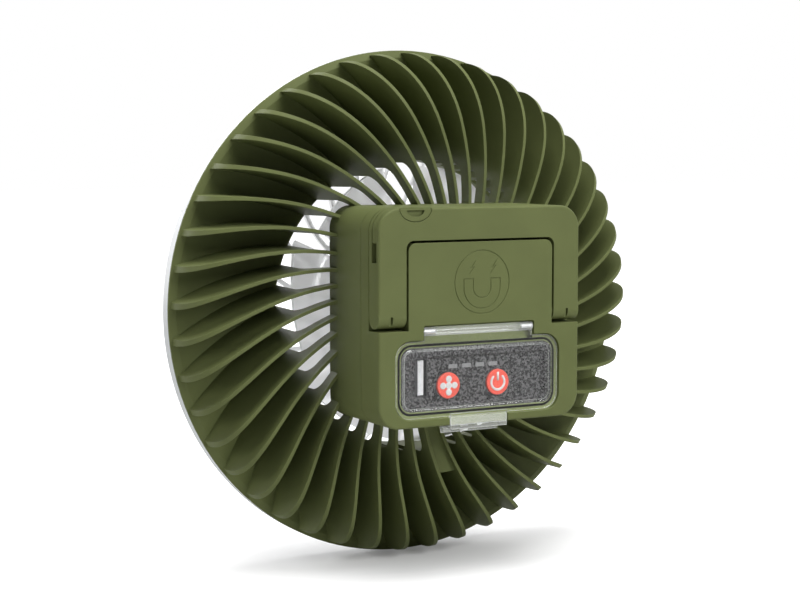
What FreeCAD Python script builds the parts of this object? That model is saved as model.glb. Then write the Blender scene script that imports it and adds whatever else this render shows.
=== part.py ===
import FreeCAD, Part
import math
import os

# Portable camping fan with a light ring, a square battery box and a folding handle.
#
# The model is first drawn as the object looks from behind: x to the right, y up and z towards
# the back, with the fan's axis on z and the back of the green rim plane at z = 0. export()
# turns every piece into the object's own frame: +Z up, the air outlet towards -Y, and the
# origin on the surface under the rim, half way between the front and the back.

# Rim and annular wall
rim_radius = 100.0
rim_slope_width = 2.8
rim_slope_drop = 1.2
annular_wall = 2.0
rim_skirt_length = 0.8

# Air duct
duct_radius = 57.0
duct_wall = 1.2
duct_length = 5.5

# Fins of the rear grille
fin_count = 45
fin_foot_thickness = 2.3
fin_crest_thickness = 1.2
fin_rise = 27.9
fin_crest_inset = 29.7
fin_root_inset = 1.1
fin_reach_under_box = 4.1
fin_root_angle = 138.6
fin_sweep_angle = 23.9
fin_bow = 5.35
fin_bar_depth = 5.5
fin_corner_radius = 4.0
fin_outline_steps = 8
fin_crest_power = 2.58
fin_shoulder_power = 2.53

# Wiring channel between two fins, under the box
channel_gap_number = 18
channel_end_gap = 8.2
channel_drop = 2.2

# Vents beside the duct, in a few gaps between the fins
vent_first_gap = 34
vent_gap_count = 4
vent_inner_gap = 2.5
vent_outer_gap = 5.9
vent_width = 2.2
vent_length = 4.4

# Battery box
box_width = 86.0
box_height = 80.2
box_corner = 8.5
box_front = 21.3
box_parting = 47.2
box_back = 61.1
box_wall = 2.2
box_edge_round = 0.8
parting_groove = 0.3

# Handle and its recess in the rear cover
handle_thickness = 7.6
handle_arm_width = 11.3
handle_bar_height = 11.8
handle_floor_gap = 0.4
handle_side_gap = 0.9
handle_pivot_height = 0.4
handle_end_gap = 1.0
handle_inner_corner = 3.0
handle_slot_width = 1.0
handle_slot_length = 4.4
handle_slot_depth = 1.2
pin_radius = 1.5
pin_clearance = 0.05
pin_end_gap = 0.3
pin_hole_in_arm = 6.0
pin_boss_radius = 3.4
pin_boss_length = 4.0
arm_boss_radius = 3.0
arm_boss_length = 0.55

# Hook folded into the handle's edge
hook_pivot_x = -27.9
hook_width = 3.0
hook_thickness = 3.0
hook_gap = 0.2
hook_front_gap = 0.45
hook_drop = 0.6
hook_tip_length = 3.4
hook_slot_end = 20.4
hook_face_layer = 1.8
hook_pin_radius = 1.0
hook_pin_grip = 1.6
cap_width = 13.0
cap_height = 4.9
cap_gap = 0.25
cap_thickness = 1.6
cap_slot_width = 7.2
cap_slot_height = 2.4
cap_slot_depth = 1.1
cap_slot_below_edge = 0.8

# Magnet panel
magnet_mark_height = 12.4
magnet_mark_radius = 11.9
engraving_width = 0.45
engraving_depth = 0.22
horseshoe_outer = 8.0
horseshoe_inner = 3.55
horseshoe_leg = 3.5
horseshoe_drop = 2.0
spark_gap = 1.2
spark_spread = 4.5
spark_lean = 1.1
magnet_radius = 7.5
magnet_thickness = 3.0
magnet_spacing = 30.0
magnet_plate_width = 50.0
magnet_plate_height = 18.0
magnet_plate_thickness = 1.2

# Control recess, clear cover and its hinge
cover_left = -35.7
cover_right = 33.9
cover_top = -8.5
cover_bottom = -36.8
cover_corner = 6.0
cover_lip_width = 2.4
cover_recess_depth = 1.8
cover_lip_thickness = 1.0
cover_seat_gap = 0.1
cover_side_gap = 0.5
cover_dome_slope = 0.7
cover_wall = 1.1
tongue_left = -23.9
tongue_right = 22.4
hinge_bar_radius = 1.6
hinge_bar_height = -5.0
hinge_pocket_gap = 0.6
hinge_pin_radius = 0.8
hinge_pin_grip = 2.0
hinge_pin_reach = 4.5
latch_left = -13.1
latch_right = 11.1
latch_thickness = 1.3
latch_reach = 8.0
latch_gap = 0.25
latch_lip = 2.2
gasket_width = 0.8
gasket_depth = 0.7
gasket_gap = 0.5

# Control panel
panel_gap = 0.15
panel_depth_below_face = 1.8
panel_plate_thickness = 2.6
window_left = -29.2
window_right = 28.9
window_top = -14.4
window_bottom = -32.6
window_depth = 1.0
window_slope = 0.9
window_corner = 2.4
panel_flange_width = 1.0
panel_flange_thickness = 1.2
panel_corner = 4.2
button_radius = 4.8
button_gap = 0.1
button_rise = 0.8
button_travel = 0.6
button_flange_width = 0.8
button_flange_thickness = 0.8
fan_button_x = -13.1
power_button_x = 8.1
buttons_height = -25.5
light_count = 4
light_first_x = -10.9
light_spacing = 5.75
lights_height = -18.5
light_width = 3.7
light_height = 1.5
port_x = -24.3
port_height = -22.1
port_length = 14.2
port_width = 5.2
port_wall = 0.35
port_depth = 12.0
port_tongue_length = 12.8
port_tongue_width = 2.4
port_tongue_inset = 0.5

# Circuit board behind the panel
board_thickness = 1.6
board_side_gap = 0.6
board_screw_radius = 0.9
board_screw_head_radius = 1.7
board_screw_head_height = 1.0
board_screw_inset = 3.0
board_screw_height = -16.2
board_boss_radius = 2.1
panel_leg_radius = 1.4
panel_leg_inset = 3.2
switch_size = 6.0
switch_body_height = 2.2
switch_height = 3.5
switch_stem_radius = 1.5

# Battery
cell_radius = 9.2
cell_length = 65.0
cell_count = 3
cell_gap = 0.5
cell_terminal_radius = 3.0
cell_terminal_rise = 0.6
tray_wall = 1.2

# Motor and impeller
impeller_tip_gap = 2.5
impeller_front = 0.0
impeller_depth = 17.0
blade_count = 7
blade_thickness = 1.8
blade_root_chord = 24.0
blade_tip_chord = 49.0
blade_root_pitch = 38.0
blade_tip_pitch = 20.0
blade_camber = 3.0
hub_radius = 19.0
hub_wall = 2.0
hub_front_height = 1.5
hub_depth = 16.5
rotor_wall = 1.0
rotor_boss_wall = 1.8
rotor_boss_gap = 0.8
rotor_magnet_thickness = 1.8
air_gap = 0.6
stator_tooth_count = 9
stator_tooth_width = 2.6
stator_depth = 7.0
stator_hub_radius = 7.0
stator_start = 8.5
winding_build = 1.0
motor_flange_radius = 16.0
motor_flange_thickness = 1.2
bearing_outer_radius = 4.0
bearing_width = 3.0
bearing_tube_wall = 1.2
shaft_radius = 1.5
shaft_clearance = 0.03
motor_screw_circle = 12.0
motor_screw_count = 3
motor_screw_radius = 1.0
motor_screw_length = 3.2

# Light ring
diffuser_depth = 8.5
diffuser_edge = 4.5
diffuser_wall = 1.6
diffuser_shoulder = 8.0
diffuser_duct_gap = 1.95
diffuser_inner_wall = 1.0
led_board_inner_gap = 3.25
led_board_outer_gap = 6.0
led_board_thickness = 1.6
led_count = 24
led_size = 3.5
led_height = 0.8
lead_thickness = 1.0
lead_width = 3.0

# Front guard
guard_thickness = 2.0
guard_ring_width = 3.0
guard_hub_radius = 18.0
guard_rib_count = 24
guard_rib_width = 1.6
guard_rib_bow = 6.0
guard_middle_ring = 38.0

# Screws that join the two halves of the box
body_screw_side_inset = 5.2
body_screw_end_inset = 8.3
body_screw_radius = 1.2
body_screw_head_radius = 2.4
body_screw_head_height = 1.6
body_screw_length = 26.0
body_post_radius = 2.6
body_post_meeting = 40.0
body_post_gap = 0.2

# Sizes that follow from the ones above
fin_crest_radius = rim_radius - fin_crest_inset
fin_root_radius = rim_radius - fin_root_inset
channel_end_radius = duct_radius + channel_end_gap
vent_inner_radius = duct_radius + vent_inner_gap
vent_outer_radius = duct_radius + vent_outer_gap
diffuser_inner_radius = duct_radius + duct_wall + diffuser_duct_gap
led_board_inner = diffuser_inner_radius + diffuser_inner_wall + led_board_inner_gap
led_board_outer = rim_radius - led_board_outer_gap
led_circle = (led_board_inner + led_board_outer) / 2
box_top = box_height / 2
fin_inner_radius = box_top - fin_reach_under_box
box_bottom = -box_height / 2
box_side = box_width / 2
box_floor = box_front + box_wall
handle_front = box_back - handle_thickness
handle_floor = handle_front - handle_floor_gap
handle_inner_side = box_side - handle_arm_width
handle_inner_top = box_top - handle_bar_height
handle_axis_depth = box_back - handle_thickness / 2
handle_bottom = handle_pivot_height - handle_thickness / 2
recess_bottom = handle_bottom - handle_end_gap
block_side = handle_inner_side - handle_side_gap
block_top = handle_inner_top - handle_side_gap
hook_back = box_back - hook_face_layer - hook_gap
hook_front = hook_back - hook_thickness
hook_slot_back = box_back - hook_face_layer
hook_slot_front = hook_front - hook_front_gap
hook_pivot_y = box_top - hook_width
hook_hub_radius = hook_width - hook_gap
lip_floor = box_back - cover_recess_depth
lip_front = lip_floor + cover_seat_gap
lip_back = lip_front + cover_lip_thickness
cover_face = box_back - cover_seat_gap
well_left = cover_left + cover_lip_width
well_right = cover_right - cover_lip_width
well_top = cover_top - cover_lip_width
well_bottom = cover_bottom + cover_lip_width
panel_face = box_back - panel_depth_below_face
panel_floor = panel_face - window_depth
panel_back = panel_face - panel_plate_thickness
panel_flange_back = panel_back - panel_flange_thickness
hinge_axis_depth = box_back - hinge_bar_radius
hinge_pocket_floor = hinge_axis_depth - hinge_bar_radius - hinge_pocket_gap
magnet_ceiling = box_back - box_wall
impeller_radius = duct_radius - impeller_tip_gap
rotor_outer_radius = hub_radius - hub_wall
rotor_inner_radius = rotor_outer_radius - rotor_wall
magnet_inner_radius = rotor_inner_radius - rotor_magnet_thickness
stator_radius = magnet_inner_radius - air_gap
rotor_front = hub_front_height + hub_wall
bearing_tube_radius = bearing_outer_radius + bearing_tube_wall
switch_tip = panel_back - button_flange_thickness - button_travel - 0.1
board_back = switch_tip - switch_height
cell_center_depth = box_floor + tray_wall + cell_radius
object_mid_depth = (box_back - diffuser_depth) / 2

BACKWARD = FreeCAD.Vector(0, 0, 1)
ORIGIN = FreeCAD.Vector(0, 0, 0)


def vec(x, y, z=0.0):
    return FreeCAD.Vector(x, y, z)


def polar(radius, angle, z=0.0):
    """Point at a radius and an angle in degrees round the fan's axis."""
    turn = math.radians(angle)
    return vec(radius * math.cos(turn), radius * math.sin(turn), z)


def disc(radius, z_from, z_to, centre=ORIGIN):
    """Solid round bar along the fan's axis."""
    return Part.makeCylinder(radius, z_to - z_from, vec(centre.x, centre.y, z_from), BACKWARD)


def ring(outer, inner, z_from, z_to, centre=ORIGIN):
    """Flat ring or tube along the fan's axis."""
    return disc(outer, z_from, z_to, centre).cut(disc(inner, z_from - 1, z_to + 1, centre))


def arc(start, middle, end):
    """Edge of a circle through three points."""
    return Part.Arc(start, middle, end).toShape()


def quarter_oval(side, front, centre):
    """Quarter of an oval about a centre, between its side point and its front point."""
    if (side - centre).Length >= (front - centre).Length:
        oval = Part.Ellipse(side, front, centre)
    else:
        oval = Part.Ellipse(front, side, centre)
    return Part.ArcOfEllipse(oval, 0, math.pi / 2).toShape()


def arc_circle(start, middle, end):
    """Centre and radius of the circle through three points."""
    curve = arc(start, middle, end).Curve
    return curve.Center, curve.Radius


def block(x_from, x_to, y_from, y_to, z_from, z_to):
    """Box between two corners."""
    return Part.makeBox(x_to - x_from, y_to - y_from, z_to - z_from, vec(x_from, y_from, z_from))


def rounded_block(x_from, x_to, y_from, y_to, z_from, z_to, corner):
    """Box with its four edges along the depth rounded."""
    solid = block(x_from, x_to, y_from, y_to, z_from, z_to)
    upright = [e for e in solid.Edges if abs(e.tangentAt(e.FirstParameter).z) > 0.9]
    return solid.makeFillet(corner, upright)


def rounded_outline(x_from, x_to, y_from, y_to, z, corner):
    """Closed outline of a rounded rectangle at a depth."""
    flat = rounded_block(x_from, x_to, y_from, y_to, z, z + 1, corner)
    bottom = min(flat.Faces, key=lambda face: face.CenterOfMass.z)
    return bottom.OuterWire


def box_shape(z_from, z_to, inset=0.0):
    """The battery box's rounded outline, drawn in by an inset."""
    return rounded_block(
        -box_side + inset, box_side - inset,
        box_bottom + inset, box_top - inset,
        z_from, z_to, box_corner - inset)


def spun(points_and_edges):
    """Full turn of a closed outline in the radius and depth plane."""
    wire = Part.Wire(points_and_edges)
    return Part.Face(wire).revolve(ORIGIN, BACKWARD, 360)


def outline(points):
    """Straight-sided closed outline in the radius and depth plane."""
    corners = [vec(radius, 0, depth) for radius, depth in points]
    return Part.makePolygon(corners + corners[:1]).Edges


def around(shape, count, start=0.0):
    """Copies of a shape, evenly spaced round the fan's axis."""
    copies = []
    for number in range(count):
        copy = shape.copy()
        copy.rotate(ORIGIN, BACKWARD, start + number * 360.0 / count)
        copies.append(copy)
    return copies


def group(solids):
    """Several separate solids in one node."""
    return Part.makeCompound(solids)


def export(shape, name):
    """Turn a piece into the object's frame and write it."""
    to_object = FreeCAD.Placement(FreeCAD.Matrix(
        -1, 0, 0, 0,
        0, 0, 1, -object_mid_depth,
        0, 1, 0, rim_radius,
        0, 0, 0, 1))
    moved = shape.copy()
    moved.Placement = to_object.multiply(moved.Placement)
    moved.exportStep("parts/" + name + ".step")


# Rear housing

def fin_angle(radius):
    """Angle of a fin's middle line at a radius, as set by its sweep and bow."""
    start, middle, end = fin_line()
    centre, bend = arc_circle(start, middle, end)
    reach = centre.Length
    from_centre = (reach ** 2 + radius ** 2 - bend ** 2) / (2 * reach * radius)
    towards = math.degrees(math.atan2(centre.y, centre.x))
    spread = math.degrees(math.acos(from_centre))
    choices = [polar(radius, towards + side * spread) for side in (-1, 1)]
    best = min(choices, key=lambda p: (p - middle).Length)
    return math.degrees(math.atan2(best.y, best.x))


def fin_line():
    """Start, middle and end of a fin's middle line, seen from behind."""
    start = polar(fin_root_radius + 1, fin_root_angle)
    end = polar(fin_inner_radius, fin_root_angle - fin_sweep_angle)
    chord = end - start
    side = vec(-chord.y, chord.x).normalize()
    if side.dot(start) < 0:
        side = side * -1
    middle = (start + end) * 0.5 + side * fin_bow
    return start, middle, end


def strip_outline(start, middle, end, width, depth):
    """Closed outline of a strip of even width along an arc, at a depth."""
    centre, bend = arc_circle(start, middle, end)

    def moved(point, offset):
        return point + (point - centre).normalize() * offset

    far = [moved(p, width / 2) for p in (start, middle, end)]
    near = [moved(p, -width / 2) for p in (start, middle, end)]
    edges = [
        arc(*far),
        Part.makeLine(far[2], near[2]),
        arc(near[2], near[1], near[0]),
        Part.makeLine(near[0], far[0]),
    ]
    wire = Part.Wire(edges)
    wire.translate(vec(0, 0, depth))
    return wire


def bent_strip(start, middle, end, width, z_from, z_to):
    """Upright strip of even width along an arc."""
    face = Part.Face(strip_outline(start, middle, end, width, z_from))
    return face.extrude(vec(0, 0, z_to - z_from))


def fin_profile():
    """Space that the fins fill: their outline in radius and depth, turned round the axis."""
    foot = annular_wall / 2
    crest = []
    for step in range(fin_outline_steps + 1):
        angle = math.radians(90.0 * step / fin_outline_steps)
        across = max(math.cos(angle), 0.0) ** (2 / fin_crest_power)
        up = math.sin(angle) ** (2 / fin_shoulder_power)
        span = fin_root_radius - fin_crest_radius
        crest.append(vec(fin_crest_radius + span * across, 0, foot + (fin_rise - foot) * up))
    crest_curve = Part.BSplineCurve()
    crest_curve.interpolate(crest)
    bar_front = fin_rise - fin_bar_depth
    corner_start = vec(duct_radius - fin_corner_radius, 0, bar_front)
    corner_end = vec(duct_radius, 0, bar_front - fin_corner_radius)
    bend = fin_corner_radius * (1 - math.sqrt(0.5))
    corner_middle = vec(duct_radius - bend, 0, bar_front - bend)
    inner = fin_inner_radius
    edges = [
        Part.makeLine(vec(inner, 0, bar_front), corner_start),
        arc(corner_start, corner_middle, corner_end),
        Part.makeLine(corner_end, vec(duct_radius, 0, foot)),
        Part.makeLine(vec(duct_radius, 0, foot), crest[0]),
        crest_curve.toShape(),
        Part.makeLine(crest[-1], vec(inner, 0, fin_rise)),
        Part.makeLine(vec(inner, 0, fin_rise), vec(inner, 0, bar_front)),
    ]
    return spun(edges)


def one_fin():
    """First fin, from the rim to inside the box, thinner towards its crest."""
    foot = strip_outline(*fin_line(), fin_foot_thickness, 0)
    crest = strip_outline(*fin_line(), fin_crest_thickness, fin_rise + 0.5)
    return Part.makeLoft([foot, crest], True, True).common(fin_profile())


def annulus():
    """Sloping rim edge, flat annular wall and duct wall, as one turned shape."""
    skirt_inner = rim_radius - rim_skirt_length
    duct_outer = duct_radius + duct_wall
    return spun(outline([
        (duct_radius, -duct_length),
        (duct_outer, -duct_length),
        (duct_outer, 0),
        (skirt_inner, 0),
        (rim_radius, 0),
        (rim_radius, annular_wall - rim_slope_drop),
        (rim_radius - rim_slope_width, annular_wall),
        (duct_radius, annular_wall),
    ]))


def vent(radius):
    """One rounded vent through the annular wall, on the x axis."""
    half_width = vent_width / 2
    return rounded_block(
        radius - half_width, radius + half_width,
        -vent_length / 2, vent_length / 2,
        -1, annular_wall + 1, half_width * 0.9)


def wiring_channel():
    """Closed channel between two fins that carries the light ring's lead."""
    pitch = 360.0 / fin_count
    start, middle, end = fin_line()
    first = fin_root_angle + channel_gap_number * pitch
    turn = first - fin_root_angle + pitch / 2
    width = 2 * math.pi * channel_end_radius / fin_count + fin_foot_thickness
    strip = bent_strip(start, middle, end, width, annular_wall / 2, fin_rise - channel_drop)
    strip.rotate(ORIGIN, BACKWARD, turn)
    fan_sector = disc(channel_end_radius, 0, fin_rise).cut(disc(box_side * 0.8, -1, fin_rise + 1))
    between = sector(first, pitch)
    return strip.common(fan_sector).common(between).common(fin_profile())


def sector(first, pitch):
    """Space between one fin's middle line and the next."""
    edge = arc(*fin_line())
    low = edge.copy()
    low.rotate(ORIGIN, BACKWARD, first - fin_root_angle)
    high = edge.copy()
    high.rotate(ORIGIN, BACKWARD, first - fin_root_angle + pitch)
    outer = Part.makeLine(low.Vertexes[0].Point, high.Vertexes[0].Point)
    inner = Part.makeLine(low.Vertexes[-1].Point, high.Vertexes[-1].Point)
    face = Part.Face(Part.Wire(Part.__sortEdges__([low, outer, high, inner])))
    return face.extrude(vec(0, 0, fin_rise))


def screw_places():
    """Centres of the four screws near the box's corners."""
    reach_x = box_side - body_screw_side_inset
    return [
        vec(side * reach_x, y)
        for side in (-1, 1)
        for y in (box_top - body_screw_end_inset, box_bottom + body_screw_end_inset)
    ]


def motor_screw_places():
    return [polar(motor_screw_circle, 90 + n * 360.0 / motor_screw_count)
            for n in range(motor_screw_count)]


def rear_housing():
    """Rim, wall, fins, wiring channel and the front half of the box: one moulding."""
    fins = around(one_fin(), fin_count)
    body = annulus().multiFuse(fins + [wiring_channel(), box_shape(box_front, box_parting)])
    cavity = box_shape(box_floor, box_parting + 1, box_wall)
    body = body.cut(cavity)
    posts = [disc(body_post_radius, box_floor - 1, body_post_meeting, p) for p in screw_places()]
    body = body.multiFuse(posts)
    pitch = 360.0 / fin_count
    cuts = []
    for radius in (vent_inner_radius, vent_outer_radius):
        middle_angle = fin_angle(radius) + pitch / 2
        copies = around(vent(radius), fin_count, middle_angle)
        cuts += copies[vent_first_gap:vent_first_gap + vent_gap_count]
    for place in screw_places():
        cuts.append(disc(body_screw_radius + body_post_gap, box_front - 1, body_post_meeting + 1, place))
        cuts.append(disc(body_screw_head_radius + body_post_gap, box_front - 4, box_front, place))
    for place in motor_screw_places():
        cuts.append(disc(motor_screw_radius, box_front - 1, box_floor + 1, place))
    cuts.append(lead_hole())
    seam = box_shape(box_parting - parting_groove, box_parting + 1)
    cuts.append(seam.cut(box_shape(box_parting - 1, box_parting + 2, parting_groove)))
    return body.cut(group(cuts))


def channel_angle(radius):
    """Angle of the wiring channel's middle at a radius."""
    pitch = 360.0 / fin_count
    return fin_angle(radius) + (channel_gap_number + 0.5) * pitch


def lead_hole():
    """Opening that lets the lead pass from the box through the channel to the light ring."""
    return lead_path(lead_width / 2 + 0.4, lead_thickness / 2 + 0.4, 0.4)


def lead_path(half_width, half_height, extra):
    """Flat path of the lead: out of the box, along the channel and down to the light ring."""
    pitch = 360.0 / fin_count
    down_radius = led_board_inner - lead_thickness / 2
    start_radius = -box_bottom - box_wall - 3
    level = fin_rise - channel_drop - 2.5
    run = bent_strip(*fin_line(), 2 * half_width, level - half_height, level + half_height)
    run.rotate(ORIGIN, BACKWARD, (channel_gap_number + 0.5) * pitch)
    run = run.common(ring(down_radius, start_radius, 0, fin_rise))
    down = block(down_radius - half_height, down_radius + half_height, -half_width, half_width,
                 -led_board_thickness - extra, level + half_height)
    down.rotate(ORIGIN, BACKWARD, channel_angle(down_radius))
    return run.fuse(down)


# Rear cover

def handle_recess():
    """Space for the folded handle: all that stands outside the magnet panel's block."""
    whole = block(-box_side - 1, box_side + 1, recess_bottom, box_top + 1, handle_floor, box_back + 1)
    keep = rounded_block(-block_side, block_side, recess_bottom - 20, block_top,
                         handle_floor - 1, box_back + 2, handle_inner_corner)
    return whole.cut(keep)


def cover_outline(z_from, z_to, grow=0.0):
    """The clear cover's rounded outline."""
    return rounded_block(cover_left - grow, cover_right + grow, cover_bottom - grow, cover_top + grow,
                         z_from, z_to, cover_corner + grow)


def well_outline(z_from, z_to, grow=0.0):
    """Opening of the control recess."""
    return rounded_block(well_left - grow, well_right + grow, well_bottom - grow, well_top + grow,
                         z_from, z_to, panel_corner + max(grow, -panel_corner / 2))


def horseshoe_wire(outer, inner, leg):
    """Closed outline of a magnet sign, open end up, about the origin."""
    left_out = vec(-outer, 0)
    right_out = vec(outer, 0)
    left_in = vec(-inner, 0)
    right_in = vec(inner, 0)
    lift = vec(0, leg)
    return Part.Wire([
        Part.makeLine(left_in + lift, left_out + lift),
        Part.makeLine(left_out + lift, left_out),
        arc(left_out, vec(0, -outer), right_out),
        Part.makeLine(right_out, right_out + lift),
        Part.makeLine(right_out + lift, right_in + lift),
        Part.makeLine(right_in + lift, right_in),
        arc(right_in, vec(0, -inner), left_in),
        Part.makeLine(left_in, left_in + lift),
    ])


def engraved(wire):
    """Shallow groove along a closed outline."""
    height = engraving_depth + 1
    whole = Part.Face(wire).extrude(vec(0, 0, height))
    shrunk = Part.Face(wire.makeOffset2D(-engraving_width)).extrude(vec(0, 0, height))
    return whole.cut(shrunk)


def magnet_mark():
    """Plain pictogram of a magnet inside a circle, cut into the panel."""
    bottom = box_back - engraving_depth
    circle = ring(magnet_mark_radius, magnet_mark_radius - engraving_width, 0, engraving_depth + 1)
    shoe = engraved(horseshoe_wire(horseshoe_outer, horseshoe_inner, horseshoe_leg))
    shoe.translate(vec(0, -horseshoe_drop, 0))
    cuts = [circle, shoe]
    for side in (-1, 1):
        cuts.append(spark(side))
    mark = group(cuts)
    mark.translate(vec(0, magnet_mark_height, bottom))
    return mark


def spark(side):
    """Small zigzag beside one leg of the magnet sign."""
    foot = spark_spread * side - spark_lean
    low = horseshoe_leg - horseshoe_drop + spark_gap
    points = [
        (foot, low),
        (foot + 2.7, low + 3.3),
        (foot + 1.5, low + 3.05),
        (foot + 3.4, low + 5.9),
        (foot - 0.1, low + 2.2),
        (foot + 1.1, low + 2.45),
    ]
    corners = [vec(x, y) for x, y in points]
    face = Part.Face(Part.makePolygon(corners + corners[:1]))
    return face.extrude(vec(0, 0, engraving_depth + 1))


def hinge_pocket():
    """Pocket above the control recess for the clear cover's hinge bar."""
    top = hinge_bar_height + hinge_bar_radius + hinge_pocket_gap
    return rounded_block(tongue_left - hinge_pocket_gap, tongue_right + hinge_pocket_gap,
                         cover_top - 1.5, top, hinge_pocket_floor, box_back + 1, 0.8)


def hinge_pin_shape(radius, spare):
    """Two short rods on the cover's hinge axis, from each side of its pocket into the bar."""
    left = tongue_left - hinge_pocket_gap - hinge_pin_grip
    right = tongue_right + hinge_pocket_gap + hinge_pin_grip
    length = hinge_pin_grip + hinge_pocket_gap + hinge_pin_reach + spare
    return group([
        Part.makeCylinder(radius, length, vec(left, hinge_bar_height, hinge_axis_depth), vec(1, 0, 0)),
        Part.makeCylinder(radius, length, vec(right, hinge_bar_height, hinge_axis_depth), vec(-1, 0, 0)),
    ])


def latch_notch():
    """Shallow step in the face for the latch tab below the cover."""
    return block(latch_left - cover_side_gap, latch_right + cover_side_gap,
                 box_bottom - 1, cover_bottom + 1, box_back - latch_thickness - cover_seat_gap, box_back + 1)


def rear_cover():
    """Back half of the box, with its recesses and the engraved sign."""
    shell = box_shape(box_parting, box_back)
    front_edges = [e for e in shell.Edges if abs(e.BoundBox.ZMin - box_back) < 1e-6]
    shell = shell.makeFillet(box_edge_round, front_edges)
    shell = shell.cut(handle_recess())
    high = handle_floor - box_wall
    inner_side = box_side - box_wall
    low_wall = box_bottom + box_wall
    panel_ceiling = panel_back
    hinge_ceiling = hinge_pocket_floor - box_wall
    block_inner = block_side - box_wall
    above_hinge = hinge_bar_height + hinge_bar_radius + hinge_pocket_gap + box_wall
    cavities = [
        box_shape(box_parting - 1, high, box_wall),
        block(-block_inner, block_inner, above_hinge, block_top - box_wall, high - 1, magnet_ceiling),
        box_shape(high - 1, panel_ceiling, box_wall).common(
            block(-inner_side, inner_side, low_wall, cover_top, high - 1, panel_ceiling)),
        block(-block_inner, block_inner, cover_top - 2, above_hinge + 1, high - 1, hinge_ceiling),
    ]
    for cavity in cavities:
        shell = shell.cut(cavity)
    shell = shell.cut(cover_outline(lip_floor, box_back + 1, cover_side_gap))
    shell = shell.cut(well_outline(panel_back - 1, box_back + 1))
    shell = shell.cut(gasket_ring())
    shell = shell.cut(hinge_pocket())
    shell = shell.cut(latch_notch())
    shell = shell.cut(hinge_pin_shape(hinge_pin_radius, 0))
    shell = shell.fuse(pivot_bosses())
    shell = shell.cut(pivot_rods(pin_radius, 0))
    shell = shell.cut(magnet_mark())
    posts = [screw_post(place) for place in screw_places()]
    bosses = [disc(board_boss_radius, board_back, panel_back + 0.5, p) for p in board_screw_places()]
    shell = shell.multiFuse(posts + bosses)
    holes = [disc(body_screw_radius, box_front, box_front + body_screw_length, p)
             for p in screw_places()]
    holes += [disc(board_screw_radius, board_back - 1, panel_back, p) for p in board_screw_places()]
    return shell.cut(group(holes))


def screw_post(place):
    """Round post that a box screw bites into."""
    top = handle_floor - box_wall + 0.5 if place.y > 0 else panel_back + 0.5
    return disc(body_post_radius, body_post_meeting, top, place)


def pivot_bosses():
    """Bosses inside the magnet panel's block that carry the handle's pins."""
    bosses = []
    for side in (-1, 1):
        start = side * (block_side - box_wall / 2)
        length = box_wall / 2 + pin_boss_length
        bosses.append(Part.makeCylinder(
            pin_boss_radius, length, vec(start, handle_pivot_height, handle_axis_depth), vec(-side, 0, 0)))
    return bosses[0].fuse(bosses[1])


def pivot_rods(radius, shorten, spare=0.0):
    """Both pins of the handle's hinge, or the bores round them with a spare length."""
    rods = []
    for side in (-1, 1):
        inner = side * (block_side - box_wall - pin_boss_length + 0.6 + shorten)
        length = box_wall + pin_boss_length - 0.6 - shorten + handle_side_gap + pin_hole_in_arm + spare
        rods.append(Part.makeCylinder(
            radius, length, vec(inner, handle_pivot_height, handle_axis_depth), vec(side, 0, 0)))
    return group(rods)


# Carry handle

def carry_handle():
    """U handle with rounded pivot ends, hook slot and cap recess."""
    solid = box_shape(handle_front, box_back)
    outer_edges = [e for e in solid.Edges if abs(e.BoundBox.ZMin - box_back) < 1e-6]
    solid = solid.makeFillet(box_edge_round, outer_edges)
    solid = solid.cut(block(-box_side - 1, box_side + 1, box_bottom - 1, handle_pivot_height,
                            handle_front - 1, box_back + 1))
    solid = solid.cut(rounded_block(-handle_inner_side, handle_inner_side, handle_bottom - 30,
                                    handle_inner_top, handle_front - 1, box_back + 1,
                                    handle_inner_corner))
    for side in (-1, 1):
        start = side * handle_inner_side
        barrel = Part.makeCylinder(handle_thickness / 2, handle_arm_width,
                                   vec(start, handle_pivot_height, handle_axis_depth), vec(side, 0, 0))
        boss = Part.makeCylinder(arm_boss_radius, arm_boss_length + 1,
                                 vec(start + side, handle_pivot_height, handle_axis_depth), vec(-side, 0, 0))
        solid = solid.fuse(barrel).fuse(boss)
    solid = solid.cut(pivot_rods(pin_radius + pin_clearance, 0, pin_end_gap))
    for side in (-1, 1):
        middle = side * (handle_inner_side + handle_arm_width * 0.53)
        solid = solid.cut(block(middle - handle_slot_width / 2, middle + handle_slot_width / 2,
                                handle_bottom - 1, handle_bottom + handle_slot_length,
                                box_back - handle_slot_depth, box_back + 1))
    solid = solid.cut(hook_slot())
    solid = solid.cut(cap_recess(cap_gap))
    pin = hook_pin()
    return solid.cut(pin)


def hook_route(width, beyond=0.0):
    """Strip along the handle's top edge, round its corner and down its side, and its low end."""
    outer = box_side + beyond
    top = box_top + beyond
    band = rounded_block(-outer, outer, box_bottom, top, 0, 1, box_corner + beyond)
    inside = rounded_block(-box_side + width, box_side, box_bottom - 1, box_top - width,
                           -1, 2, box_corner - width)
    low = box_top - box_corner - hook_drop - hook_tip_length
    return band.cut(inside), low


def hook_slot():
    """Slot in the handle's edge for the hook, long enough for a fingertip."""
    width = hook_width + hook_gap
    band, low = hook_route(width, 0.5)
    right = hook_pivot_x + width
    region = block(-box_side - 1, right, hook_slot_end, box_top + 1, -1, 2)
    slot = band.common(region)
    slot = slot.fuse(disc(width, 0, 1, vec(hook_pivot_x, hook_pivot_y)))
    stretch = FreeCAD.Matrix()
    stretch.scale(1, 1, hook_slot_back - hook_slot_front)
    slot = slot.transformGeometry(stretch)
    slot.translate(vec(0, 0, hook_slot_front))
    return slot


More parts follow.
